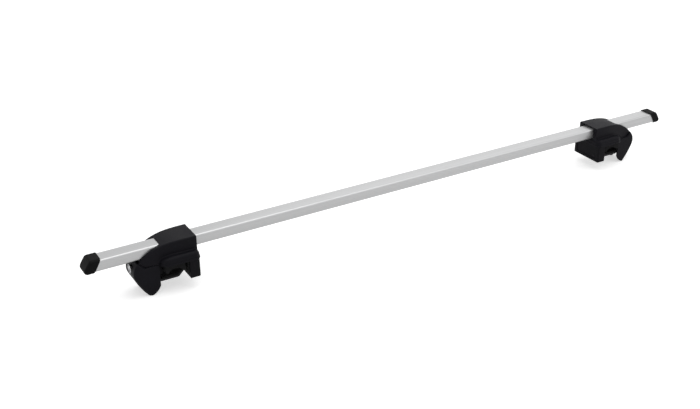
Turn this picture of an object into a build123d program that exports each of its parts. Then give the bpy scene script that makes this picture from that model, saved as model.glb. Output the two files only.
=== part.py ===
from build123d import *
from math import cos, radians, sin, tan
import os

os.makedirs("parts", exist_ok=True)

# Roof rack crossbar: one load bar on two clamp feet for raised roof rails, in millimetres.
# In the assembly X runs along the bar, Y across it and Z up from the ground.
# Each foot is drawn in its own frame: x outboard from the saddle mouth, z from the bar's centre line.

# Crossbar
BAR_LENGTH = 1356.0  # lower side of the tube, mitre to mitre
BAR_WIDTH = 32.0
BAR_HEIGHT = 22.0
BAR_WALL = 2.0
BAR_CORNER = 4.0
BAR_MITRE = 30.0  # degrees from square
FOOT_X = 487.0  # middle of the bar to a saddle mouth

# End caps
CAP_LENGTH = 19.0
CAP_OVERHANG = 2.2
CAP_CORNER = 7.0
CAP_EDGE = 6.0
CAP_DOME = 1.6
CAP_PLUG = 24.0
CAP_PLUG_WALL = 2.2
CAP_RIB = 1.2

# Clearances
SLIDE_GAP = 0.2  # bar to the pieces that slide on it
GUIDE_GAP = 0.3  # moving piece to its guide
SEAT_GAP = 0.4  # moulding to moulding
PIN_GAP = 0.1  # pin or screw in its hole, on the radius
PLUG_GAP = 0.15  # end cap in the tube

# Steel bracket over the bar
STEEL = 2.5
BRACKET_IN = 6.0
BRACKET_LENGTH = 34.0
BRACKET_BEND = 2.0
BRACKET_PIN_X = 13.0
BRACKET_PIN_D = 5.0
PIN_HEAD_D = 7.0
PIN_HEAD = 1.6
ARM_BELOW_NUT = 3.0

# Foot base
LINER = 1.6
LINER_LENGTH = 54.0
LINER_HALF = 13.0
DECK = 7.6
PLATE = 5.0
BLOCK_IN = 0.4
BLOCK_THICK = 20.5
BLOCK_DROP = 37.0
BLOCK_HALF = 40.0
BLOCK_CORNER = 3.6
BLOCK_WALL = 4.5
PANEL_DEPTH = 1.2
BLOCK_PAD = 3.0
BLOCK_PAD_HEIGHT = 24.0
RAIL_GAP = 45.1
TOWER = 13.5
TOWER_HALF = 22.3
TOWER_DROP = 20.5
KEEPER_DROP = 4.2
KEEPER_HALF = 7.0
KEEPER_THICK = 2.8

# Foot cover
ROOF = 2.3
ROOF_GAP = 0.3
SADDLE_SIDE = 9.0  # outside of the saddle beyond the bracket
SADDLE_POCKET = 2.6
MOUTH_LIP = 5.0
MOUTH_FLAT = 12.0
SADDLE_EDGE = 3.0
ROOF_FLAT = 14.0
ROOF_BREAK = 69.5  # where the roof runs into the bar's top
NOSE_TIP = 13.0  # outboard of the barrel nut
NOSE_TIP_DROP = 4.0  # below the bar's underside
NOSE_RAKE = 12.0  # lower corner of the nose inboard of its tip
NOSE_WALL = 1.5  # beside the bracket arms
SKIRT_REACH = 12.8
SKIRT_LEAD = 2.2
SKIRT_END = 74.0
SKIRT_WALL = 2.6
SKIRT_DRAFT = 5.0
SKIRT_CORNER_IN = 10.0
SKIRT_CORNER_OUT = 18.0
SHOULDER_RISE = 1.6  # above the bar's underside
SHOULDER_FLAT = 40.0
SHOULDER_FALL = 13.0
SHOULDER_EDGE = 8.0
SHOULDER_BLEND = 2.2  # into the saddle's side
BEAD = 0.6
BEAD_HEIGHT = 3.0

# Cover screws
SCREW_D = 4.0
SCREW_LENGTH = 14.0
SCREW_HEAD_D = 7.5
SCREW_HEAD = 2.4
SCREW_X = (25.0, 49.0)
SCREW_Y = 29.0
BOSS_D = 9.0

# Rail pad
PAD_LENGTH = 38.0
PAD_HALF = 34.0
PAD_CROWN = 10.6
PAD_LEG = 18.0
PAD_TOE = 4.0
PAD_PEG_D = 6.0
PAD_PEG = 3.6
PAD_PEG_Y = 20.0
PAD_GROOVE = 1.0

# Claw, its pad and the clamp bolt
CLAW_STEEL = 4.0
CLAW_HALF = 21.5
CLAW_DROP = 36.6  # below the base plate to the underside of the claw
CLAW_LEG_HALF = 13.0
CLAW_LEG_TOP = 3.2  # above the base plate's underside
CLAW_SHOULDER = 9.5
CLAW_BEND = 3.0
CLAW_REACH = 36.6  # leg to the knee of the tip
CLAW_TIP = 15.0
CLAW_PAD = 2.5
TAB_HALF = 7.2
TAB_LENGTH = 26.0
TAB_RISE = 8.0  # above the underside of the claw
BOLT_D = 8.0
BOLT_LENGTH = 35.0
BOLT_HEAD_D = 13.0
BOLT_HEAD = 8.0
BOLT_SOCKET = 6.0
BOLT_SOCKET_DEPTH = 4.0
BOLT_X = 23.0  # outboard of the tower's inboard face
NUT_D = 14.0
NUT_DROP = 3.6  # axis below the base plate's underside
WASHER_D = 14.0
WASHER = 1.6

# Lock cover and lock
COVER_HALF = 25.5
COVER_WALL = 2.8
COVER_EDGE = 6.5
COVER_TOP_EDGE = 2.2
COVER_SET = 5.5  # outboard of the tower's inboard face
COVER_TOE = 16.5  # lower inboard corner of the side walls
COVER_TOE_BULGE = 2.4
COVER_DEPTH = 10.5  # outboard of the nose tip
COVER_LEAN = 6.5  # crown inboard of the lock
COVER_TUCK = 2.0  # waist inboard of the lock
COVER_WAIST = 17.0  # waist below the lock
COVER_TOP_DROP = 8.5  # below the bar's underside
FOOT_DROP = 84.0  # bar's centre line above the ground
COVER_FLOOR = 7.0
COVER_ARCH_HALF = 11.0
COVER_ARCH = 14.0  # height of the arch between the two toes
LOCK_DROP = 5.6  # below the base plate's underside
LOCK_FACE_D = 16.0
LOCK_HEAD = 2.6
LOCK_BODY_D = 10.0
LOCK_BODY = 15.2
LOCK_BOSS_D = 15.0
LOCK_BOSS = 10.0
COLLAR_D = 19.0
COLLAR = 4.0
KEYWAY = 1.5
KEYWAY_LENGTH = 8.0
KEYWAY_DEPTH = 1.8
CAM = 2.5
CAM_LENGTH = 10.0
CAM_HALF = 4.0
CAM_SCREW_D = 4.0
CAM_SCREW_LENGTH = 7.0
CAM_SCREW_HEAD_D = 7.0
CAM_SCREW_HEAD = 2.0

# Levels and faces that follow from the sizes above
bar_top = BAR_HEIGHT / 2
bar_bottom = -BAR_HEIGHT / 2
bar_half = BAR_WIDTH / 2
bracket_half_in = bar_half + SLIDE_GAP + 0.2
bracket_half = bracket_half_in + STEEL
bracket_top = bar_top + SLIDE_GAP + STEEL
bracket_out = BRACKET_IN + BRACKET_LENGTH
tunnel_half = bracket_half + SEAT_GAP
tunnel_top = bracket_top + ROOF_GAP
saddle_half = tunnel_half + SADDLE_SIDE
nose_half = tunnel_half + NOSE_WALL
saddle_top = tunnel_top + ROOF
deck_top = bar_bottom - SLIDE_GAP - LINER
plate_top = deck_top - DECK
plate_bottom = plate_top - PLATE
rim = plate_bottom + SEAT_GAP
shoulder = bar_bottom + SHOULDER_RISE
skirt_half = saddle_half + SKIRT_REACH
block_out = BLOCK_IN + BLOCK_THICK
block_bottom = plate_bottom - BLOCK_DROP
tower_in = block_out + BLOCK_PAD + RAIL_GAP
tower_bottom = plate_bottom - TOWER_DROP
slot_in = tower_in + (TOWER - CLAW_STEEL) / 2 - GUIDE_GAP
leg_in = slot_in + GUIDE_GAP
leg_out = leg_in + CLAW_STEEL
claw_bottom = plate_bottom - CLAW_DROP
claw_top = claw_bottom + CLAW_STEEL
tab_bottom = claw_bottom + TAB_RISE
tab_top = tab_bottom + CLAW_STEEL
bolt_x = tower_in + BOLT_X
nut_z = plate_bottom - NUT_DROP
nose_tip = bolt_x + NUT_D / 2 + NOSE_TIP
nose_tip_z = bar_bottom - NOSE_TIP_DROP
nose_low = nose_tip - NOSE_RAKE
arm_out = bolt_x + NUT_D / 2 + ARM_BELOW_NUT
arm_bottom = nut_z - NUT_D / 2 - ARM_BELOW_NUT
pin_z = (deck_top + plate_top) / 2
lock_z = plate_bottom - LOCK_DROP
cover_in = tower_in + COVER_SET
cover_out = nose_tip + COVER_DEPTH
lock_seat = cover_out - COLLAR
cam_out = lock_seat + SLIDE_GAP - LOCK_BODY
keeper_in = cam_out + 0.8
deck_out = keeper_in + KEEPER_THICK
cover_top = bar_bottom - COVER_TOP_DROP
ground = -FOOT_DROP
floor_in = cover_in + COVER_TOE
floor_out = floor_in + COVER_FLOOR


def box(x0, x1, y0, y1, z0, z1):
    """Block between two corners."""
    return Pos((x0 + x1) / 2, (y0 + y1) / 2, (z0 + z1) / 2) * Box(x1 - x0, y1 - y0, z1 - z0)


def slab(x0, x1, half, z0, z1):
    """Block that reaches as far to both sides."""
    return box(x0, x1, -half, half, z0, z1)


def side_face(edges):
    """Face in the X-Z plane from the edges of its outline."""
    return Plane.XZ * make_face(edges)


def across(face, half):
    """Solid of a face in the X-Z plane, as far to both sides."""
    return extrude(Pos(0, half, 0) * face, amount=2 * half)


def prism(points, half):
    """Solid of a side outline, as far to both sides."""
    return across(side_face(Polyline(*points, close=True).edges()), half)


def window(x0, x1, z0, z1):
    """Rectangle in the X-Z plane."""
    return Plane.XZ * Pos((x0 + x1) / 2, (z0 + z1) / 2) * Rectangle(x1 - x0, z1 - z0)


def both_sides(solid):
    """A solid and its mirror image across the bar."""
    return solid + mirror(solid, about=Plane.XZ)


def rod_x(diameter, x0, x1, z):
    """Cylinder along the bar, on the foot's middle plane."""
    return Pos((x0 + x1) / 2, 0, z) * Rot(0, 90, 0) * Cylinder(diameter / 2, x1 - x0)


def rod_y(diameter, x, half, z):
    """Cylinder across the bar."""
    return Pos(x, 0, z) * Rot(90, 0, 0) * Cylinder(diameter / 2, 2 * half)


def rod_z(diameter, x, y, z0, z1):
    """Upright cylinder."""
    return Pos(x, y, (z0 + z1) / 2) * Cylinder(diameter / 2, z1 - z0)


def nearest(shape, x, z):
    """Corner of a side face that lies nearest to a point."""
    return shape.vertices().sort_by(lambda v: (v.X - x) ** 2 + (v.Z - z) ** 2)[0]


def rounded(face, corners):
    """Side face with a radius at each listed corner."""
    for x, z, radius in corners:
        face = fillet(nearest(face, x, z), radius)
    return face


def bar_section(grow, corner):
    """Bar's cross-section, larger all round by grow."""
    return Plane.YZ * RectangleRounded(BAR_WIDTH + 2 * grow, BAR_HEIGHT + 2 * grow, corner)


def crossbar():
    slant = BAR_HEIGHT * tan(radians(BAR_MITRE))
    long_half = BAR_LENGTH / 2
    section = bar_section(0, BAR_CORNER) - bar_section(-BAR_WALL, BAR_CORNER - BAR_WALL)
    tube = Pos(-long_half, 0, 0) * extrude(section, amount=BAR_LENGTH)
    sides = [
        (-long_half, bar_bottom),
        (long_half, bar_bottom),
        (long_half - slant, bar_top),
        (-long_half + slant, bar_top),
    ]
    return tube & prism(sides, BAR_WIDTH)


def mitre_x(z):
    """Where the right-hand mitre lies at a height."""
    return BAR_LENGTH / 2 - (z - bar_bottom) * tan(radians(BAR_MITRE))


def end_cap():
    low, high = bar_bottom - CAP_OVERHANG, bar_top + CAP_OVERHANG
    face_low = (mitre_x(low) + CAP_LENGTH, low)
    face_high = (mitre_x(high) + CAP_LENGTH, high)
    face_mid = (mitre_x(0) + CAP_LENGTH + CAP_DOME, 0)
    outline = [
        *Polyline(face_high, (mitre_x(high), high), (mitre_x(low), low), face_low).edges(),
        ThreePointArc(face_low, face_mid, face_high),
    ]
    reach = CAP_LENGTH + CAP_PLUG + BAR_HEIGHT
    solid = extrude(bar_section(CAP_OVERHANG, CAP_CORNER), amount=reach)
    body = Pos(mitre_x(high) - 1, 0, 0) * solid & across(side_face(outline), BAR_WIDTH)
    front = body.faces().sort_by(lambda f: f.center().X)[-1]
    body = fillet(front.edges(), CAP_EDGE)
    skin = bar_section(-BAR_WALL - PLUG_GAP, BAR_CORNER - BAR_WALL)
    core = bar_section(-BAR_WALL - PLUG_GAP - CAP_PLUG_WALL, 0.6)
    sleeve = extrude(skin - core, amount=CAP_PLUG + BAR_HEIGHT)
    rib = slab(0, CAP_PLUG + BAR_HEIGHT, CAP_RIB, bar_bottom + BAR_WALL + 1, bar_top - BAR_WALL - 1)
    plug_sides = [
        (mitre_x(bar_bottom) - CAP_PLUG, bar_bottom),
        (mitre_x(bar_bottom), bar_bottom),
        (mitre_x(bar_top), bar_top),
        (mitre_x(bar_top) - CAP_PLUG, bar_top),
    ]
    plug = Pos(mitre_x(bar_top) - CAP_PLUG, 0, 0) * (sleeve + rib) & prism(plug_sides, BAR_WIDTH)
    return body + plug


def skirt_outline(inset):
    """Plan of the skirt, smaller all round by inset."""
    x0, x1 = -SKIRT_LEAD + inset, SKIRT_END - inset
    plan = Pos((x0 + x1) / 2, 0) * Rectangle(x1 - x0, 2 * (skirt_half - inset))
    plan = fillet(plan.vertices().group_by(Axis.X)[-1], SKIRT_CORNER_OUT - inset)
    return fillet(plan.vertices().group_by(Axis.X)[0], SKIRT_CORNER_IN - inset)


def skirt_form(inset, foot):
    """Drafted skirt with a rounded shoulder that falls away outboard, standing on foot."""
    top = shoulder - inset
    body = extrude(Pos(0, 0, rim) * skirt_outline(inset), amount=top - rim + 2, taper=SKIRT_DRAFT)
    fall_end = (SKIRT_END + 4, top - SHOULDER_FALL)
    fall = Spline((SHOULDER_FLAT, top), fall_end, tangents=((1, 0), (0.45, -0.9)))
    frame = Polyline(
        fall_end,
        (SKIRT_END + 4, foot),
        (-SKIRT_LEAD - 4, foot),
        (-SKIRT_LEAD - 4, top),
        (SHOULDER_FLAT, top),
    )
    if foot < rim:
        body += extrude(Pos(0, 0, foot) * skirt_outline(inset), amount=rim - foot)
    body &= across(side_face([*frame.edges(), fall]), skirt_half + 2)
    upper = body.edges().filter_by(lambda e: e.center().Z > top - SHOULDER_FALL)
    upper = upper.filter_by(lambda e: abs((e % 0.5).Z) < 0.7)
    crest = upper.filter_by(lambda e: abs(e.center().Y) > skirt_half / 2 or e.center().X < SHOULDER_FLAT / 2)
    crest = crest.filter_by(lambda e: e.bounding_box().size.X > 0.01 or e.center().X < SHOULDER_FLAT)
    return fillet(crest, SHOULDER_EDGE - inset)


def saddle_plan():
    """Plan of the saddle, straight at the mouth and then narrowing to the nose."""
    tip = nose_tip + 1
    side = Spline((MOUTH_FLAT, saddle_half), (tip, nose_half), tangents=((1, 0), (1, -0.05)))
    end = Line((tip, nose_half), (tip, -nose_half))
    mouth = Polyline(
        (MOUTH_FLAT, -saddle_half),
        (0, -saddle_half),
        (0, saddle_half),
        (MOUTH_FLAT, saddle_half),
    )
    return make_face([side, end, mirror(side, about=Plane.XZ), *mouth.edges()])


def saddle_form():
    """Saddle over the bar, running down into the nose."""
    roof = Spline(
        (ROOF_FLAT, saddle_top),
        (ROOF_BREAK, bar_top),
        (nose_tip, nose_tip_z),
        tangents=((1, 0), (0.7, -0.75)),
    )
    frame = Polyline(
        (nose_tip, nose_tip_z),
        (nose_low, rim),
        (0, rim),
        (0, saddle_top),
        (ROOF_FLAT, saddle_top),
    )
    body = across(side_face([*frame.edges(), roof]), saddle_half + 1)
    body &= extrude(Pos(0, 0, rim - 1) * saddle_plan(), amount=saddle_top - rim + 2)
    crest = body.edges().filter_by(lambda e: abs(e.center().Y) > nose_half / 2)
    crest = crest.filter_by(lambda e: e.center().Z > nose_tip_z and e.bounding_box().size.X > 6)
    return fillet(crest, SADDLE_EDGE)


def meets_saddle(edge):
    """True for the edges where the shoulder runs into the saddle's sides."""
    limits = edge.bounding_box()
    beside = nose_half < abs(edge.center().Y) < saddle_half + 0.2 and limits.size.X > 3
    within = edge.center().X < SKIRT_END and edge.center().Z > rim + 4
    return beside and within and limits.max.Z < shoulder + 0.2


def foot_cover():
    outer = saddle_form() + skirt_form(0, rim)
    outer = fillet(outer.edges().filter_by(meets_saddle), SHOULDER_BLEND)
    outer += extrude(Pos(0, 0, rim) * skirt_outline(-BEAD), amount=BEAD_HEIGHT)
    room = skirt_form(SKIRT_WALL, rim - 1)
    far = nose_tip + 10
    tunnel = extrude(bar_section(SLIDE_GAP + SEAT_GAP, BAR_CORNER), amount=far + 10)
    room += Pos(-10, 0, 0) * tunnel
    room += slab(-10, bracket_out + 1.5, bar_half + SLIDE_GAP + SEAT_GAP, 0, tunnel_top)
    pocket_half = tunnel_half + SADDLE_POCKET
    room += slab(MOUTH_LIP, bracket_out + 1.5, pocket_half, bar_bottom - SLIDE_GAP - SEAT_GAP, tunnel_top)
    room += slab(BRACKET_IN - SEAT_GAP, far, tunnel_half, rim - 1, bar_bottom)
    shell = outer - room
    for x in SCREW_X:
        boss = rod_z(BOSS_D, x, SCREW_Y, plate_top, shoulder - SKIRT_WALL + 0.4)
        hole = rod_z(SCREW_D + 2 * PIN_GAP, x, SCREW_Y, plate_top - 1, plate_bottom + SCREW_LENGTH + 0.4)
        shell = shell + both_sides(boss) - both_sides(hole)
    return shell


def foot_base():
    inset = SKIRT_WALL + SEAT_GAP + PLATE * tan(radians(SKIRT_DRAFT))
    base = extrude(Pos(0, 0, plate_bottom) * skirt_outline(inset), amount=PLATE)
    base -= slab(tower_in, SKIRT_END, skirt_half, plate_bottom - 1, plate_top + 1)
    deck_half = bracket_half_in - 0.2
    base += slab(BRACKET_IN, deck_out, deck_half, plate_top, deck_top)
    base += slab(tower_in, tower_in + TOWER, deck_half, tower_bottom, plate_top)
    base += slab(tower_in, tower_in + TOWER, TOWER_HALF, tower_bottom, plate_bottom - SEAT_GAP)
    base += slab(keeper_in, deck_out, KEEPER_HALF, plate_top - KEEPER_DROP, plate_top)

    plan = Pos(BLOCK_IN + BLOCK_THICK / 2, 0) * Rectangle(BLOCK_THICK, 2 * BLOCK_HALF)
    plan = fillet(plan.vertices().group_by(Axis.X)[0], BLOCK_CORNER)
    plan = fillet(plan.vertices().group_by(Axis.X)[-1], BLOCK_CORNER / 3)
    block = extrude(Pos(0, 0, block_bottom) * plan, amount=BLOCK_DROP)
    block = fillet(block.faces().sort_by(Axis.Z)[0].edges(), 1.5)
    panel_height = BLOCK_DROP - 12
    panel = RectangleRounded(2 * (BLOCK_HALF - 9), panel_height, 4)
    panel_plane = Plane.YZ.offset(BLOCK_IN)
    block -= extrude(panel_plane * Pos(0, block_bottom + 6 + panel_height / 2) * panel, amount=PANEL_DEPTH)
    cell = (2 * BLOCK_HALF - 4 * BLOCK_WALL) / 3
    for n in (-1, 0, 1):
        y = n * (cell + BLOCK_WALL)
        cell_low, cell_top = block_bottom + 2 * BLOCK_WALL, plate_bottom - BLOCK_WALL
        block -= box(BLOCK_IN + BLOCK_WALL, block_out + 1, y - cell / 2, y + cell / 2, cell_low, cell_top)
    base += block

    slot_out = slot_in + CLAW_STEEL + 2 * GUIDE_GAP
    base -= slab(slot_in, slot_out, CLAW_LEG_HALF + GUIDE_GAP, tower_bottom - 1, deck_top - 1.6)
    arm_slot = box(
        bracket_out, arm_out + 2, bracket_half_in - 0.2, bracket_half + 0.2, arm_bottom - 0.2, deck_top + 1
    )
    base -= both_sides(arm_slot)
    base -= rod_z(BOLT_D + 2, bolt_x, 0, plate_top - 1, deck_top + 1)
    base -= rod_y(BRACKET_PIN_D + 2 * PIN_GAP, BRACKET_PIN_X, bracket_half, pin_z)
    pad_x = (block_out + BLOCK_PAD + tower_in) / 2
    base -= both_sides(rod_z(PAD_PEG_D + 2 * PIN_GAP, pad_x, PAD_PEG_Y, plate_bottom - 1, plate_top - 1))
    for x in SCREW_X:
        hole = rod_z(SCREW_D + 4 * PIN_GAP, x, SCREW_Y, plate_bottom - 1, plate_top + 1)
        seat = rod_z(SCREW_HEAD_D + 0.6, x, SCREW_Y, plate_bottom - 1, plate_bottom + SCREW_HEAD + 0.2)
        base -= both_sides(hole + seat)
    return base


def bar_bracket():
    leg_bottom = plate_top + SEAT_GAP
    outline = [
        (BRACKET_IN, leg_bottom),
        (BRACKET_IN, bracket_top - STEEL),
        (bracket_out, bracket_top - STEEL),
        (bracket_out, bar_bottom),
        (bracket_out + 6, bar_bottom - 2 * SEAT_GAP - SLIDE_GAP),
        (arm_out, bar_bottom - 2 * SEAT_GAP - SLIDE_GAP),
        (arm_out, arm_bottom),
        (bolt_x - NUT_D / 2 - ARM_BELOW_NUT, arm_bottom),
        (tower_in + 1, plate_top),
        (tower_in - 4, leg_bottom),
    ]
    legs = prism(outline, bracket_half) - slab(
        BRACKET_IN - 1, arm_out + 1, bracket_half_in, arm_bottom - 1, bracket_top - STEEL
    )
    strap = legs + slab(BRACKET_IN, bracket_out, bracket_half, bracket_top - STEEL, bracket_top)
    bends = strap.edges().filter_by(Axis.X).group_by(Axis.Z)[-1]
    strap = fillet(bends, BRACKET_BEND)
    strap -= rod_y(NUT_D + 2 * PIN_GAP, bolt_x, bracket_half + 1, nut_z)
    return strap - rod_y(BRACKET_PIN_D + 2 * PIN_GAP, BRACKET_PIN_X, bracket_half + 1, pin_z)


def bracket_pin():
    shank = rod_y(BRACKET_PIN_D, BRACKET_PIN_X, bracket_half + SEAT_GAP, pin_z)
    head = rod_y(PIN_HEAD_D, BRACKET_PIN_X, PIN_HEAD / 2, pin_z)
    head = chamfer(head.edges(), 0.4)
    return shank + both_sides(Pos(0, bracket_half + SEAT_GAP / 2 + PIN_HEAD / 2, 0) * head)


def barrel_nut():
    nut = rod_y(NUT_D, bolt_x, bracket_half + 0.4, nut_z)
    nut = chamfer(nut.edges(), 0.8)
    return nut - rod_z(BOLT_D + 2 * PIN_GAP, bolt_x, 0, nut_z - NUT_D, nut_z + NUT_D)


def bar_liner():
    x0 = BRACKET_IN + 2
    liner = slab(x0, x0 + LINER_LENGTH, LINER_HALF, deck_top, deck_top + LINER)
    return fillet(liner.edges().filter_by(Axis.Z), 3)


def cover_screws():
    """The four screws of a foot, one solid each."""
    screws = []
    for x in SCREW_X:
        for y in (-SCREW_Y, SCREW_Y):
            seat = plate_bottom + SCREW_HEAD
            head = rod_z(SCREW_HEAD_D, x, y, plate_bottom + 0.2, seat)
            head = chamfer(head.edges().group_by(Axis.Z)[0], 0.8)
            screw = head + rod_z(SCREW_D, x, y, seat, plate_bottom + SCREW_LENGTH)
            cross = Pos(x, y, plate_bottom + 0.8) * (Box(3.6, 1.0, 1.4) + Box(1.0, 3.6, 1.4))
            screws.append(screw - cross)
    return Compound(children=[s.solid() for s in screws])


def rail_pad():
    x_mid = (block_out + BLOCK_PAD + tower_in) / 2
    x0, x1 = x_mid - PAD_LENGTH / 2, x_mid + PAD_LENGTH / 2
    toe = plate_bottom - PAD_LEG
    frame = Polyline(
        (x1 - PAD_TOE, toe),
        (x1, toe + 1.5),
        (x1, plate_bottom),
        (x0, plate_bottom),
        (x0, toe + 1.5),
        (x0 + PAD_TOE, toe),
    )
    arch = ThreePointArc((x0 + PAD_TOE, toe), (x_mid, plate_bottom - PAD_CROWN), (x1 - PAD_TOE, toe))
    pad = across(side_face([*frame.edges(), arch]), PAD_HALF)
    pad = chamfer(pad.faces().filter_by(Axis.Y).edges().filter_by(GeomType.CIRCLE), 1.0)
    for shift in (-6, 0, 6):
        groove_z = plate_bottom - PAD_CROWN - 0.03 * abs(shift)
        pad -= rod_y(2 * PAD_GROOVE, x_mid + shift, PAD_HALF + 1, groove_z)
    return pad + both_sides(rod_z(PAD_PEG_D, x_mid, PAD_PEG_Y, plate_bottom, plate_bottom + PAD_PEG))


def block_pad():
    top = plate_bottom - 2
    pad = box(block_out, block_out + BLOCK_PAD, -BLOCK_HALF + 3, BLOCK_HALF - 3, top - BLOCK_PAD_HEIGHT, top)
    pad = fillet(pad.faces().sort_by(Axis.X)[-1].edges(), 1.0)
    for n in range(1, 4):
        pad -= rod_y(1.6, block_out + BLOCK_PAD, BLOCK_HALF, top - n * BLOCK_PAD_HEIGHT / 4)
    return pad


def claw_outline(x_leg, z_plate, thick, top, tip):
    """Side outline of a bent plate: upright leg, flat under the rail and raised tip."""
    run, rise = cos(radians(45)), sin(radians(45))
    knee = leg_in - CLAW_REACH + (z_plate - claw_bottom) * tan(radians(22.5))
    turn = thick * tan(radians(22.5))
    end = (knee - tip * run, z_plate + tip * rise)
    return [
        (x_leg, top),
        (x_leg, z_plate),
        (knee, z_plate),
        end,
        (end[0] + thick * rise, end[1] + thick * run),
        (knee + turn, z_plate + thick),
        (x_leg - thick, z_plate + thick),
        (x_leg - thick, top),
    ]


def claw():
    shoulder_z = claw_bottom + CLAW_SHOULDER
    points = claw_outline(leg_out, claw_bottom, CLAW_STEEL, shoulder_z, CLAW_TIP)
    radius = CLAW_BEND + CLAW_STEEL
    face = rounded(
        side_face(Polyline(*points, close=True).edges()),
        [(*points[1], radius), (*points[6], CLAW_BEND), (*points[2], radius), (*points[5], CLAW_BEND)],
    )
    plate = across(face, CLAW_HALF)
    leg_top = plate_bottom + CLAW_LEG_TOP
    plate += slab(leg_in, leg_out, CLAW_LEG_HALF, shoulder_z - 1, leg_top)
    slot_top = min(tab_bottom + TAB_LENGTH, leg_top - 4)
    plate -= slab(leg_in - 1, leg_out + 1, TAB_HALF + 0.4, tab_bottom - 1, slot_top)
    bend = rounded(
        side_face(
            Polyline(
                (leg_in, tab_bottom - 3),
                (leg_in, tab_top),
                (leg_out + TAB_LENGTH, tab_top),
                (leg_out + TAB_LENGTH, tab_bottom),
                (leg_out, tab_bottom),
                (leg_out, tab_bottom - 3),
                close=True,
            ).edges()
        ),
        [(leg_in, tab_top, radius / 2 + 1), (leg_out, tab_bottom, 1.5)],
    )
    tab = across(bend, TAB_HALF)
    tab = fillet(tab.edges().filter_by(Axis.Z).group_by(Axis.X)[-1], TAB_HALF / 2)
    plate += tab
    return plate - rod_z(BOLT_D + 1, bolt_x, 0, tab_bottom - 1, tab_top + 1)


def claw_pad():
    points = claw_outline(leg_in - CLAW_BEND, claw_top, CLAW_PAD, claw_top + 9, CLAW_TIP - CLAW_STEEL)
    face = rounded(
        side_face(Polyline(*points[1:7], close=True).edges()),
        [(*points[2], CLAW_BEND), (*points[5], 1.0)],
    )
    return across(face, CLAW_HALF - 1.5)


def clamp_bolt():
    seat = tab_bottom - WASHER
    shank = rod_z(BOLT_D, bolt_x, 0, seat, seat + BOLT_LENGTH)
    shank = chamfer(shank.edges().group_by(Axis.Z)[-1], 1.0)
    head = rod_z(BOLT_HEAD_D, bolt_x, 0, seat - BOLT_HEAD, seat)
    head = fillet(head.edges().group_by(Axis.Z)[0], 0.8)
    socket = Pos(bolt_x, 0, seat - BOLT_HEAD) * RegularPolygon(BOLT_SOCKET / 2, 6, major_radius=False)
    return shank + head - extrude(socket, amount=BOLT_SOCKET_DEPTH)


def clamp_washer():
    ring = rod_z(WASHER_D, bolt_x, 0, tab_bottom - WASHER, tab_bottom)
    return ring - rod_z(BOLT_D + 4 * PIN_GAP, bolt_x, 0, tab_bottom - WASHER - 1, tab_bottom + 1)


def cover_face():
    """Side outline of the lock cover's lobe."""
    part_low = (nose_low + SEAT_GAP, rim - SEAT_GAP)
    part_high = (nose_tip + 1.2 * SEAT_GAP, nose_tip_z)
    crown = (cover_out - COVER_LEAN, cover_top)
    waist = (cover_out - COVER_TUCK, lock_z - COVER_WAIST)
    upper = ThreePointArc(crown, (cover_out, lock_z - 2), waist)
    lower = TangentArc(waist, (floor_out, ground), tangent=upper % 1)
    toe_top = (cover_in, ground + COVER_TOE)
    floor = Line((floor_out, ground), (floor_in, ground))
    toe_shift = COVER_TOE / 2 + COVER_TOE_BULGE * sin(radians(45))
    toe = ThreePointArc((floor_in, ground), (floor_in - toe_shift, ground + COVER_TOE - toe_shift), toe_top)
    frame = Polyline(toe_top, (cover_in, rim - SEAT_GAP), part_low, part_high, crown)
    return side_face([floor, toe, *frame.edges(), upper, lower])


def lobe_edges(body):
    """Edges of the lobe's outline on its two sides."""
    return body.edges().filter_by(lambda e: abs(e.center().Y) > COVER_HALF - 0.1)


def lock_cover():
    face = cover_face()
    body = across(face, COVER_HALF)
    bulge = lobe_edges(body).filter_by(GeomType.CIRCLE).filter_by(lambda e: e.center().X > floor_out)
    body = fillet(bulge, COVER_EDGE)
    top = lobe_edges(body).filter_by(GeomType.LINE).filter_by(lambda e: e.center().Z > rim - COVER_EDGE)
    body = fillet(top, COVER_TOP_EDGE)
    inner_half = COVER_HALF - COVER_WALL
    room = offset(face, amount=-COVER_WALL)
    room += window(tower_in - 8, floor_in + 1, ground - 1, rim + 5)
    throat = window(floor_in, nose_tip - 1, lock_z - 10, cover_top + 1)
    shell = body - across(room, inner_half) - across(throat, tunnel_half + SEAT_GAP)
    arch_z = ground + COVER_ARCH - COVER_ARCH_HALF
    shell -= rod_x(2 * COVER_ARCH_HALF, cover_in, cover_out, arch_z)
    shell -= slab(cover_in, cover_out, COVER_ARCH_HALF, ground - 1, arch_z)
    shell += rod_x(LOCK_BOSS_D, lock_seat - LOCK_BOSS, cover_out - 1, lock_z)
    shell -= rod_x(LOCK_BODY_D + 2 * GUIDE_GAP, lock_seat - LOCK_BOSS - 1, cover_out + 5, lock_z)
    return shell - rod_x(COLLAR_D + 2 * PIN_GAP, lock_seat, cover_out + 5, lock_z)


def lock_collar():
    ring = rod_x(COLLAR_D, lock_seat, cover_out + 0.4, lock_z)
    ring = chamfer(ring.edges().group_by(Axis.X)[-1], 0.8)
    return ring - rod_x(LOCK_FACE_D + 2 * GUIDE_GAP, lock_seat - 1, cover_out + 1, lock_z)


def lock_barrel():
    seat = lock_seat + SLIDE_GAP
    face = rod_x(LOCK_FACE_D, seat, seat + LOCK_HEAD, lock_z)
    face = fillet(face.edges().group_by(Axis.X)[-1], 0.6)
    barrel = face + rod_x(LOCK_BODY_D, cam_out, seat, lock_z)
    slot = Pos(seat + LOCK_HEAD, 0, lock_z) * Box(2 * KEYWAY_DEPTH, KEYWAY, KEYWAY_LENGTH)
    bore = rod_x(CAM_SCREW_D + 2 * PIN_GAP, cam_out - 1, cam_out - CAM + CAM_SCREW_LENGTH + 0.5, lock_z)
    return barrel - slot - bore


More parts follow.
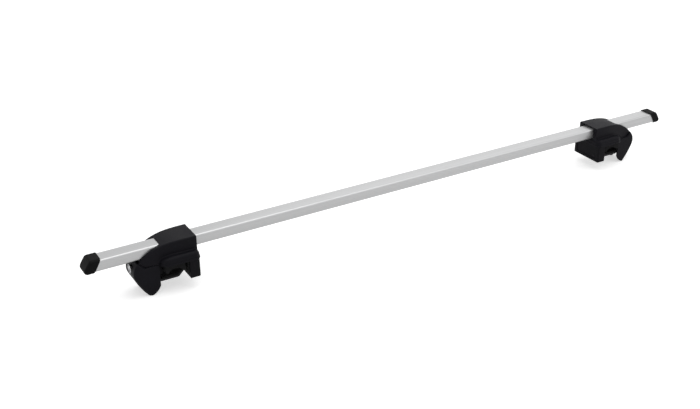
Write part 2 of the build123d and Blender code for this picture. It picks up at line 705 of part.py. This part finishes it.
def lock_cam():
    outline = Circle(CAM_HALF + 2)
    outline += Pos(CAM_LENGTH / 2 - CAM_HALF / 2, 0) * Rectangle(CAM_LENGTH - CAM_HALF, 2 * CAM_HALF)
    outline += Pos(CAM_LENGTH - CAM_HALF, 0) * Circle(CAM_HALF)
    outline -= Circle(CAM_SCREW_D / 2 + PIN_GAP)
    plane = Plane(origin=(cam_out - CAM, 0, lock_z), x_dir=(0, 1, 0), z_dir=(1, 0, 0))
    return extrude(plane * outline, amount=CAM)


def cam_screw():
    seat = cam_out - CAM
    head = rod_x(CAM_SCREW_HEAD_D, seat - CAM_SCREW_HEAD, seat, lock_z)
    head = fillet(head.edges().group_by(Axis.X)[0], 0.8)
    screw = head + rod_x(CAM_SCREW_D, seat, seat + CAM_SCREW_LENGTH, lock_z)
    cross = Pos(seat - CAM_SCREW_HEAD, 0, lock_z) * (Box(1.6, 0.9, 3.6) + Box(1.6, 3.6, 0.9))
    return screw - cross


FOOT_PIECES = [
    foot_cover,
    foot_base,
    bar_bracket,
    bracket_pin,
    barrel_nut,
    bar_liner,
    cover_screws,
    rail_pad,
    block_pad,
    claw,
    claw_pad,
    clamp_bolt,
    clamp_washer,
    lock_cover,
    lock_collar,
    lock_barrel,
    lock_cam,
    cam_screw,
]

lift = Pos(0, 0, FOOT_DROP)
half_turn = Rot(0, 0, 180)
export_step(lift * crossbar(), "parts/crossbar.step")
cap = end_cap()
export_step(lift * cap, "parts/end_cap_right.step")
export_step(lift * half_turn * cap, "parts/end_cap_left.step")
for piece in FOOT_PIECES:
    solid = Pos(FOOT_X, 0, FOOT_DROP) * piece()
    export_step(solid, f"parts/{piece.__name__}_right.step")
    export_step(half_turn * solid, f"parts/{piece.__name__}_left.step")
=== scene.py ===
import math

import bpy
from mathutils import Matrix, Vector


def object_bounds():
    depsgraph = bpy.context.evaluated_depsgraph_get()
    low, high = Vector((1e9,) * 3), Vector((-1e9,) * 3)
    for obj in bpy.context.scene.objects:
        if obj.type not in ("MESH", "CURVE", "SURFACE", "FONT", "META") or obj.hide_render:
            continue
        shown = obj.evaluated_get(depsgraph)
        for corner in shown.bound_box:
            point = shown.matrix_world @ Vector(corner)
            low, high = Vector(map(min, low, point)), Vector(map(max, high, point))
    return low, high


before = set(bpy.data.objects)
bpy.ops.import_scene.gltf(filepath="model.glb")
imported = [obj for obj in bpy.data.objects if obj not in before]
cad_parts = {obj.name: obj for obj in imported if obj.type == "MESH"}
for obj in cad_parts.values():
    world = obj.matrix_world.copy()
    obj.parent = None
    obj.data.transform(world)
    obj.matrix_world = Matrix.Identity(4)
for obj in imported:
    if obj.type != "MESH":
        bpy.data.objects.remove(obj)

# Box of the solids before they are dressed
cad_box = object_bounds()

# Camera: place and reach in metres, angles in degrees, lens and sensor in millimetres
CAMERA_AT = (-1.100, -1.618, 1.020)
CAMERA_HEADING = 30.59
CAMERA_PITCH = 26.99
CAMERA_ROLL = 0.09
CAMERA_LENS = 53.82
CAMERA_SENSOR = 36.0
CAMERA_REACH = 60.0

# Square lamps: place, point looked at and side in metres, power in watts
LAMPS = {
    "key": ((1.6, 1.9, 1.4), (0.2, 0.0, 0.1), 2.2, 5.5),
    "edge": ((1.2, -1.1, 2.1), (0.1, 0.0, 0.1), 2.4, 15.0),
    "top": ((-0.2, 0.2, 2.6), (0.0, 0.0, 0.1), 2.2, 24.0),
}

# White world: its strength as fill light, and where the camera or a reflection shows it
WORLD_FILL = 0.50
WORLD_SEEN = 1.0

# Floor: side and drop below the object in metres, surface, glow seen directly and mirrored
FLOOR_SIZE = 14.0
FLOOR_DROP = 0.0005
FLOOR_GREY = 0.80
FLOOR_ROUGH = 0.9
FLOOR_GLOSS = 0.1
FLOOR_GLOW = 0.55
FLOOR_GLOW_MIRRORED = 0.34

# Ranges: a whole mask, the middle of a noise and nearly all of it
UNIT = (0.0, 1.0)
MIDDLE = (0.3, 0.7)
WIDE = (0.25, 0.75)

# Edges: samples of the rounded normal, and the cosine of its turn where a mask starts and is full
EDGE_SAMPLES = 6
EDGE_TURN = (0.995, 0.86)

# Black mouldings: tone, roughness, gloss, grains a metre and depth of the grain in metres
MOULDINGS = {
    "cover_plastic": ((0.0058, 0.0055, 0.0078), 0.46, 0.075, 1500.0, 0.00005),
    "cap_plastic": ((0.0058, 0.0058, 0.0061), 0.55, 0.05, 1200.0, 0.00006),
    "base_plastic": ((0.0072, 0.0070, 0.0086), 0.58, 0.06, 1100.0, 0.00006),
}

# Clouds of a moulding: number a metre, range shown, shares of the tone, steps of the roughness
CLOUDS = 26.0
CLOUD_RANGE = (0.3, 0.72)
CLOUD_DARK = 0.85
CLOUD_LIGHT = 1.2
CLOUD_ROUGH = (-0.07, 0.07)

# Edges of a moulding: widths softened and given a painted highlight in metres, share of the tone in the
# painted highlight, its strength, loss of roughness
PLASTIC_EDGE = 0.0005
PLASTIC_HIGHLIGHT_EDGE = 0.0009
PLASTIC_EDGE_HIGHLIGHT = 3.5
PLASTIC_HIGHLIGHT_STRENGTH = 0.5
PLASTIC_EDGE_POLISH = 0.12

# Streaks that break up the painted highlight on the edges: number a metre, stretch, range shown,
# strength
STREAKS = 420.0
STREAK_STRETCH = (1.0, 1.0, 0.25)
STREAK_RANGE = (0.35, 0.75)
STREAK_STRENGTH = (0.25, 1.0)

# Satin aluminium of the bar: tones of its drawing lines and of its duller patches, roughness
BAR_DARK = (0.450, 0.452, 0.455)
BAR_LIGHT = (0.522, 0.524, 0.528)
BAR_DULL = (0.400, 0.401, 0.404)
BAR_METAL = 0.9
BAR_ROUGH = (0.36, 0.46)

# Drawing lines and broader bands: number a metre along each axis, share of the lines, range shown
BAR_LINES = (1.2, 900.0, 900.0)
BAR_BANDS = (0.6, 130.0, 130.0)
BAR_LINE_SHARE = 0.6
BAR_LINE_RANGE = (0.36, 0.64)

# Duller patches: number a metre along each axis, range shown, strength, gain of roughness
BAR_PATCHES = (9.0, 60.0, 60.0)
BAR_PATCH_RANGE = (0.62, 0.8)
BAR_PATCH_STRENGTH = (0.0, 0.35)
BAR_PATCH_ROUGH = 0.2

# Depth of the drawing lines and width of the bar's softened edges, metres
BAR_RELIEF = 0.00003
BAR_EDGE = 0.0004

# Rubber: tones, gloss, roughness, blooms a metre and their range
RUBBER_DARK = (0.007, 0.007, 0.0074)
RUBBER_LIGHT = (0.014, 0.014, 0.0147)
RUBBER_GLOSS = 0.12
RUBBER_ROUGH = (0.78, 0.92)
RUBBER_BLOOMS = 60.0
RUBBER_BLOOM_RANGE = (0.3, 0.75)

# Rubber grains a metre, their depth and the width of the softened edges in metres
RUBBER_GRAINS = 2400.0
RUBBER_RELIEF = 0.00006
RUBBER_EDGE = 0.0006

# Powder coat: tones, with the painted highlight of its edges, gloss, roughness, dimples a metre
COAT_DARK = (0.008, 0.008, 0.0088)
COAT_LIGHT = (0.012, 0.012, 0.0132)
COAT_EDGE_HIGHLIGHT = (0.020, 0.020, 0.022)
COAT_GLOSS = 0.18
COAT_ROUGH = (0.42, 0.54)
COAT_DIMPLES = 900.0

# Depth of the dimples and widths of the coat's softened edges and of their painted highlight, metres
COAT_RELIEF = 0.00008
COAT_EDGE = 0.0005
COAT_HIGHLIGHT_EDGE = 0.0008

# Plated steel: darker and lighter tone of the spangle, roughness
PLATES = {
    "zinc_steel": ((0.42, 0.42, 0.43), (0.60, 0.60, 0.60), 0.36),
    "bracket_steel": ((0.34, 0.34, 0.345), (0.50, 0.50, 0.50), 0.42),
}

# Spangles and lines of the plate: number a metre, stretch of the lines, depth in metres
PLATE_SPANGLES = 150.0
PLATE_LINES = 700.0
PLATE_LINE_STRETCH = (1.0, 6.0, 1.0)
PLATE_RELIEF = 0.00003

# Bright metal: steps of the roughness and width of the softened edges in metres
METAL_ROUGH = (-0.08, 0.1)
METAL_EDGE = 0.0003

# Satin chrome of the lock: tone, share of it in the streaks, roughness, depth of the streaks in metres
LOCK_CHROME = (0.66, 0.66, 0.67)
LOCK_STREAK_DARK = 0.85
LOCK_ROUGH = 0.24
LOCK_RELIEF = 0.00002

# Lines and streaks of the lock: number a metre, stretch, range of the streaks
LOCK_LINES = 800.0
LOCK_LINE_STRETCH = (1.0, 1.0, 7.0)
LOCK_STREAKS = 500.0
LOCK_STREAK_STRETCH = (1.0, 9.0, 1.5)
LOCK_STREAK_RANGE = (0.55, 0.72)

# Lock collar: tone, gloss, roughness, clouds a metre
COLLAR_BLACK = (0.0050, 0.0050, 0.0054)
COLLAR_GLOSS = 0.2
COLLAR_ROUGH = (0.24, 0.36)
COLLAR_CLOUDS = 300.0

# Black rim outside the collar's bright lining, blend between them and relief, metres
COLLAR_RIM = 0.0009
COLLAR_BLEND = 0.0001
COLLAR_RELIEF = 0.00001


def new_material(name):
    """New material with its node tree and principled shader."""
    material = bpy.data.materials.new(name)
    material.use_nodes = True
    tree = material.node_tree
    return material, tree, tree.nodes["Principled BSDF"]


def object_coords(tree):
    """Coordinates of the piece itself, in metres."""
    return tree.nodes.new("ShaderNodeTexCoord").outputs["Object"]


def stretched(tree, coords, scale):
    """Coordinates scaled along each axis."""
    mapping = tree.nodes.new("ShaderNodeMapping")
    mapping.inputs["Scale"].default_value = scale
    tree.links.new(coords, mapping.inputs["Vector"])
    return mapping.outputs["Vector"]


def noise(tree, coords, scale=1.0, detail=3.0, roughness=0.55):
    """Grey noise in coordinates."""
    node = tree.nodes.new("ShaderNodeTexNoise")
    node.inputs["Scale"].default_value = scale
    node.inputs["Detail"].default_value = detail
    node.inputs["Roughness"].default_value = roughness
    tree.links.new(coords, node.inputs["Vector"])
    return node.outputs["Fac"]


def pebbles(tree, coords, scale):
    """Cell distances, for a moulded grain."""
    node = tree.nodes.new("ShaderNodeTexVoronoi")
    node.inputs["Scale"].default_value = scale
    tree.links.new(coords, node.inputs["Vector"])
    return node.outputs["Distance"]


def remap(tree, value, source, target=UNIT):
    """Value of one range spread over another and held at its ends."""
    node = tree.nodes.new("ShaderNodeMapRange")
    for side, (low, high) in (("From", source), ("To", target)):
        node.inputs[f"{side} Min"].default_value = low
        node.inputs[f"{side} Max"].default_value = high
    tree.links.new(value, node.inputs["Value"])
    return node.outputs["Result"]


def combine(tree, kind, first, second):
    """Two values joined by a math operation; the second may be a number."""
    node = tree.nodes.new("ShaderNodeMath")
    node.operation = kind
    tree.links.new(first, node.inputs[0])
    if isinstance(second, (int, float)):
        node.inputs[1].default_value = second
    else:
        tree.links.new(second, node.inputs[1])
    return node.outputs["Value"]


def blend(tree, factor, low, high):
    """Colour between two by a factor; each is a colour or a socket."""
    node = tree.nodes.new("ShaderNodeMix")
    node.data_type = "RGBA"
    tree.links.new(factor, node.inputs["Factor"])
    sockets = [socket for socket in node.inputs if socket.type == "RGBA"]
    for socket, colour in zip(sockets, (low, high)):
        if isinstance(colour, tuple):
            socket.default_value = (*colour, 1.0)
        else:
            tree.links.new(colour, socket)
    return next(socket for socket in node.outputs if socket.type == "RGBA")


def rounded_normal(tree, radius):
    """Normal rounded over sharp edges."""
    node = tree.nodes.new("ShaderNodeBevel")
    node.samples = EDGE_SAMPLES
    node.inputs["Radius"].default_value = radius
    return node.outputs["Normal"]


def edge_mask(tree, radius):
    """One along sharp edges, fading to nothing within the radius."""
    geometry = tree.nodes.new("ShaderNodeNewGeometry")
    dot = tree.nodes.new("ShaderNodeVectorMath")
    dot.operation = "DOT_PRODUCT"
    tree.links.new(rounded_normal(tree, radius), dot.inputs[0])
    tree.links.new(geometry.outputs["Normal"], dot.inputs[1])
    return remap(tree, dot.outputs["Value"], EDGE_TURN)


def relief(tree, surface, height, depth, edge):
    """Bump from a height on top of softened edges."""
    bump = tree.nodes.new("ShaderNodeBump")
    bump.inputs["Strength"].default_value = 1.0
    bump.inputs["Distance"].default_value = depth
    tree.links.new(height, bump.inputs["Height"])
    tree.links.new(rounded_normal(tree, edge), bump.inputs["Normal"])
    tree.links.new(bump.outputs["Normal"], surface.inputs["Normal"])


def paint(tree, surface, colour, roughness):
    """Leads a colour and a roughness into the shader."""
    tree.links.new(colour, surface.inputs["Base Color"])
    tree.links.new(roughness, surface.inputs["Roughness"])


def scaled(colour, factor):
    """Colour made lighter or darker."""
    return tuple(factor * channel for channel in colour)


def around(middle, steps):
    """Range that lies a lower and an upper step from a middle value."""
    return tuple(middle + step for step in steps)


def moulded_plastic(name, tone, rough, gloss, grain, depth):
    """Grained black moulding with a cloudy tone and an uneven painted highlight along its edges."""
    material, tree, surface = new_material(name)
    coords = object_coords(tree)
    surface.inputs["Specular IOR Level"].default_value = gloss
    cloud = noise(tree, coords, CLOUDS, detail=4.0)
    shade = remap(tree, cloud, CLOUD_RANGE)
    body = blend(tree, shade, scaled(tone, CLOUD_DARK), scaled(tone, CLOUD_LIGHT))
    # Painted highlight: the edges are lighter than the tone, broken up by streaks
    streaks = noise(tree, stretched(tree, coords, STREAK_STRETCH), STREAKS, detail=5.0, roughness=0.7)
    broken = remap(tree, streaks, STREAK_RANGE, STREAK_STRENGTH)
    edges = combine(tree, "MULTIPLY", edge_mask(tree, PLASTIC_HIGHLIGHT_EDGE), broken)
    painted_highlight = combine(tree, "MULTIPLY", edges, PLASTIC_HIGHLIGHT_STRENGTH)
    colour = blend(tree, painted_highlight, body, scaled(tone, PLASTIC_EDGE_HIGHLIGHT))
    sheen = remap(tree, cloud, WIDE, around(rough, CLOUD_ROUGH))
    polish = combine(tree, "MULTIPLY", edges, PLASTIC_EDGE_POLISH)
    paint(tree, surface, colour, combine(tree, "SUBTRACT", sheen, polish))
    relief(tree, surface, pebbles(tree, coords, grain), depth, PLASTIC_EDGE)
    return material


def anodised_aluminium(name):
    """Satin extrusion with fine drawing lines along the bar and a slightly uneven sheen."""
    material, tree, surface = new_material(name)
    coords = object_coords(tree)
    surface.inputs["Metallic"].default_value = BAR_METAL
    lines = noise(tree, stretched(tree, coords, BAR_LINES), detail=4.0, roughness=0.6)
    bands = noise(tree, stretched(tree, coords, BAR_BANDS), detail=2.0, roughness=0.5)
    fine = combine(tree, "MULTIPLY", lines, BAR_LINE_SHARE)
    broad = combine(tree, "MULTIPLY", bands, 1 - BAR_LINE_SHARE)
    tint = combine(tree, "ADD", fine, broad)
    drawn = blend(tree, remap(tree, tint, BAR_LINE_RANGE), BAR_DARK, BAR_LIGHT)
    patches = noise(tree, stretched(tree, coords, BAR_PATCHES), detail=6.0, roughness=0.72)
    dull = remap(tree, patches, BAR_PATCH_RANGE, BAR_PATCH_STRENGTH)
    sheen = remap(tree, tint, MIDDLE, BAR_ROUGH)
    gain = combine(tree, "MULTIPLY", dull, BAR_PATCH_ROUGH)
    paint(tree, surface, blend(tree, dull, drawn, BAR_DULL), combine(tree, "ADD", sheen, gain))
    relief(tree, surface, tint, BAR_RELIEF, BAR_EDGE)
    return material


def soft_rubber(name):
    """Matt rubber with a bloom and fine mould texture."""
    material, tree, surface = new_material(name)
    coords = object_coords(tree)
    surface.inputs["Specular IOR Level"].default_value = RUBBER_GLOSS
    cloud = noise(tree, coords, RUBBER_BLOOMS, detail=5.0, roughness=0.6)
    bloom = remap(tree, cloud, RUBBER_BLOOM_RANGE)
    colour = blend(tree, bloom, RUBBER_DARK, RUBBER_LIGHT)
    paint(tree, surface, colour, remap(tree, bloom, UNIT, RUBBER_ROUGH))
    relief(tree, surface, noise(tree, coords, RUBBER_GRAINS, detail=2.0), RUBBER_RELIEF, RUBBER_EDGE)
    return material


def powder_coat(name):
    """Black powder coat with orange peel and a little painted highlight along its edges."""
    material, tree, surface = new_material(name)
    surface.inputs["Specular IOR Level"].default_value = COAT_GLOSS
    peel = noise(tree, object_coords(tree), COAT_DIMPLES, detail=2.0, roughness=0.4)
    coat = blend(tree, remap(tree, peel, MIDDLE), COAT_DARK, COAT_LIGHT)
    # Painted highlight: the coat is lighter along its edges
    colour = blend(tree, edge_mask(tree, COAT_HIGHLIGHT_EDGE), coat, COAT_EDGE_HIGHLIGHT)
    paint(tree, surface, colour, remap(tree, peel, MIDDLE, COAT_ROUGH))
    relief(tree, surface, peel, COAT_RELIEF, COAT_EDGE)
    return material


def plated_steel(name, dark, light, rough):
    """Plated steel with a mottled spangle and fine lines."""
    material, tree, surface = new_material(name)
    coords = object_coords(tree)
    surface.inputs["Metallic"].default_value = 1.0
    spangle = noise(tree, coords, PLATE_SPANGLES, detail=5.0, roughness=0.65)
    along = stretched(tree, coords, PLATE_LINE_STRETCH)
    lines = noise(tree, along, PLATE_LINES, detail=4.0, roughness=0.7)
    colour = blend(tree, remap(tree, spangle, MIDDLE), dark, light)
    paint(tree, surface, colour, remap(tree, lines, WIDE, around(rough, METAL_ROUGH)))
    relief(tree, surface, lines, PLATE_RELIEF, METAL_EDGE)
    return material


def satin_chrome(name):
    """Lock metal with fine lines and faint darker streaks."""
    material, tree, surface = new_material(name)
    coords = object_coords(tree)
    surface.inputs["Metallic"].default_value = 1.0
    lines = noise(tree, stretched(tree, coords, LOCK_LINE_STRETCH), LOCK_LINES, roughness=0.6)
    along = stretched(tree, coords, LOCK_STREAK_STRETCH)
    streaks = noise(tree, along, LOCK_STREAKS, detail=6.0, roughness=0.75)
    faint = remap(tree, streaks, LOCK_STREAK_RANGE)
    colour = blend(tree, faint, LOCK_CHROME, scaled(LOCK_CHROME, LOCK_STREAK_DARK))
    paint(tree, surface, colour, remap(tree, lines, MIDDLE, around(LOCK_ROUGH, METAL_ROUGH)))
    relief(tree, surface, streaks, LOCK_RELIEF, METAL_EDGE)
    return material


def lining_mask(tree, coords, collar):
    """One inside the rim of a collar that faces along the bar and is centred across it."""
    heights = [corner[2] for corner in collar.bound_box]
    low, high = min(heights), max(heights)
    split = tree.nodes.new("ShaderNodeSeparateXYZ")
    tree.links.new(coords, split.inputs["Vector"])
    across = split.outputs["Y"]
    up = combine(tree, "SUBTRACT", split.outputs["Z"], (low + high) / 2)
    across_square = combine(tree, "MULTIPLY", across, across)
    up_square = combine(tree, "MULTIPLY", up, up)
    radius = combine(tree, "POWER", combine(tree, "ADD", across_square, up_square), 0.5)
    lining = (high - low) / 2 - COLLAR_RIM
    return remap(tree, radius, (lining + COLLAR_BLEND, lining))


def lined_collar(name, collar):
    """Smooth black collar, lined with bright metal around the lock face."""
    material, tree, surface = new_material(name)
    coords = object_coords(tree)
    surface.inputs["Specular IOR Level"].default_value = COLLAR_GLOSS
    metal = lining_mask(tree, coords, collar)
    tree.links.new(metal, surface.inputs["Metallic"])
    cloud = noise(tree, coords, COLLAR_CLOUDS, detail=4.0)
    colour = blend(tree, metal, COLLAR_BLACK, LOCK_CHROME)
    paint(tree, surface, colour, remap(tree, cloud, WIDE, COLLAR_ROUGH))
    relief(tree, surface, cloud, COLLAR_RELIEF, METAL_EDGE)
    return material


def dress_nodes():
    """Gives every solid of the frame its finished material; small steel pieces are zinc plated."""
    plastics = {name: moulded_plastic(name, *values) for name, values in MOULDINGS.items()}
    plates = {name: plated_steel(name, *values) for name, values in PLATES.items()}
    rubber = soft_rubber("pad_rubber")
    finishes = {
        "crossbar": anodised_aluminium("bar_aluminium"),
        "end_cap": plastics["cap_plastic"],
        "foot_cover": plastics["cover_plastic"],
        "lock_cover": plastics["cover_plastic"],
        "foot_base": plastics["base_plastic"],
        "lock_collar": lined_collar("collar_plastic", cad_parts["lock_collar_left"]),
        "rail_pad": rubber,
        "block_pad": rubber,
        "claw_pad": rubber,
        "bar_liner": rubber,
        "claw": powder_coat("claw_steel"),
        "bar_bracket": plates["bracket_steel"],
        "lock_barrel": satin_chrome("lock_chrome"),
    }
    for name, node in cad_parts.items():
        kind = name.removesuffix("_left").removesuffix("_right")
        for slot in node.material_slots:
            slot.material = finishes.get(kind, plates["zinc_steel"])


def backdrop_mask(tree, path):
    """One for the rays that show the backdrop: from the camera, a mirror or glass."""
    seen = combine(tree, "MAXIMUM", path.outputs["Is Camera Ray"], path.outputs["Is Glossy Ray"])
    return combine(tree, "MAXIMUM", seen, path.outputs["Is Transmission Ray"])


def floor_white(name):
    """Pale surface with a glow for the rays that show the backdrop."""
    material, tree, surface = new_material(name)
    surface.inputs["Base Color"].default_value = (FLOOR_GREY, FLOOR_GREY, FLOOR_GREY, 1.0)
    surface.inputs["Roughness"].default_value = FLOOR_ROUGH
    surface.inputs["Specular IOR Level"].default_value = FLOOR_GLOSS
    path = tree.nodes.new("ShaderNodeLightPath")
    glow = tree.nodes.new("ShaderNodeEmission")
    strength = remap(tree, path.outputs["Is Camera Ray"], UNIT, (FLOOR_GLOW_MIRRORED, FLOOR_GLOW))
    tree.links.new(strength, glow.inputs["Strength"])
    both = tree.nodes.new("ShaderNodeAddShader")
    tree.links.new(surface.outputs["BSDF"], both.inputs[0])
    tree.links.new(glow.outputs["Emission"], both.inputs[1])
    choose = tree.nodes.new("ShaderNodeMixShader")
    tree.links.new(backdrop_mask(tree, path), choose.inputs["Fac"])
    tree.links.new(surface.outputs["BSDF"], choose.inputs[1])
    tree.links.new(both.outputs["Shader"], choose.inputs[2])
    tree.links.new(choose.outputs["Shader"], tree.nodes["Material Output"].inputs["Surface"])
    return material


def build_floor():
    """Floor just below the object that stays near white and keeps a soft shadow."""
    half = FLOOR_SIZE / 2
    level = cad_box[0][2] - FLOOR_DROP
    corners = [(-half, -half, level), (half, -half, level), (half, half, level), (-half, half, level)]
    mesh = bpy.data.meshes.new("floor")
    mesh.from_pydata(corners, [], [(0, 1, 2, 3)])
    mesh.materials.append(floor_white("floor_white"))
    floor = bpy.data.objects.new("floor", mesh)
    bpy.context.scene.collection.objects.link(floor)


def build_world():
    """White backdrop for camera and reflections, softer fill for everything else."""
    world = bpy.data.worlds.new("studio")
    world.use_nodes = True
    bpy.context.scene.world = world
    tree = world.node_tree
    background = tree.nodes["Background"]
    background.inputs["Color"].default_value = (1.0, 1.0, 1.0, 1.0)
    seen = backdrop_mask(tree, tree.nodes.new("ShaderNodeLightPath"))
    strength = remap(tree, seen, UNIT, (WORLD_FILL, WORLD_SEEN))
    tree.links.new(strength, background.inputs["Strength"])


def add_lamp(name, at, aim, size, power):
    """Square soft lamp looking at a point."""
    lamp = bpy.data.lights.new(name, "AREA")
    lamp.shape = "SQUARE"
    lamp.size = size
    lamp.energy = power
    holder = bpy.data.objects.new(name, lamp)
    holder.location = at
    holder.rotation_euler = (Vector(aim) - Vector(at)).to_track_quat("-Z", "Y").to_euler()
    bpy.context.scene.collection.objects.link(holder)


def build_camera():
    """Camera at the photograph's viewing angle."""
    camera = bpy.data.cameras.new("camera")
    camera.sensor_width = CAMERA_SENSOR
    camera.sensor_fit = "HORIZONTAL"
    camera.lens = CAMERA_LENS
    camera.clip_end = CAMERA_REACH
    turn = Matrix.Rotation(-math.radians(CAMERA_HEADING), 4, "Z")
    tilt = Matrix.Rotation(math.radians(90 - CAMERA_PITCH), 4, "X")
    roll = Matrix.Rotation(-math.radians(CAMERA_ROLL), 4, "Z")
    view = turn @ tilt @ roll
    holder = bpy.data.objects.new("camera", camera)
    holder.matrix_world = Matrix.Translation(CAMERA_AT) @ view
    bpy.context.scene.collection.objects.link(holder)
    bpy.context.scene.camera = holder


dress_nodes()
build_floor()
build_world()
for lamp_name, lamp_values in LAMPS.items():
    add_lamp(lamp_name, *lamp_values)
build_camera()
bpy.context.scene.view_settings.view_transform = "Standard"
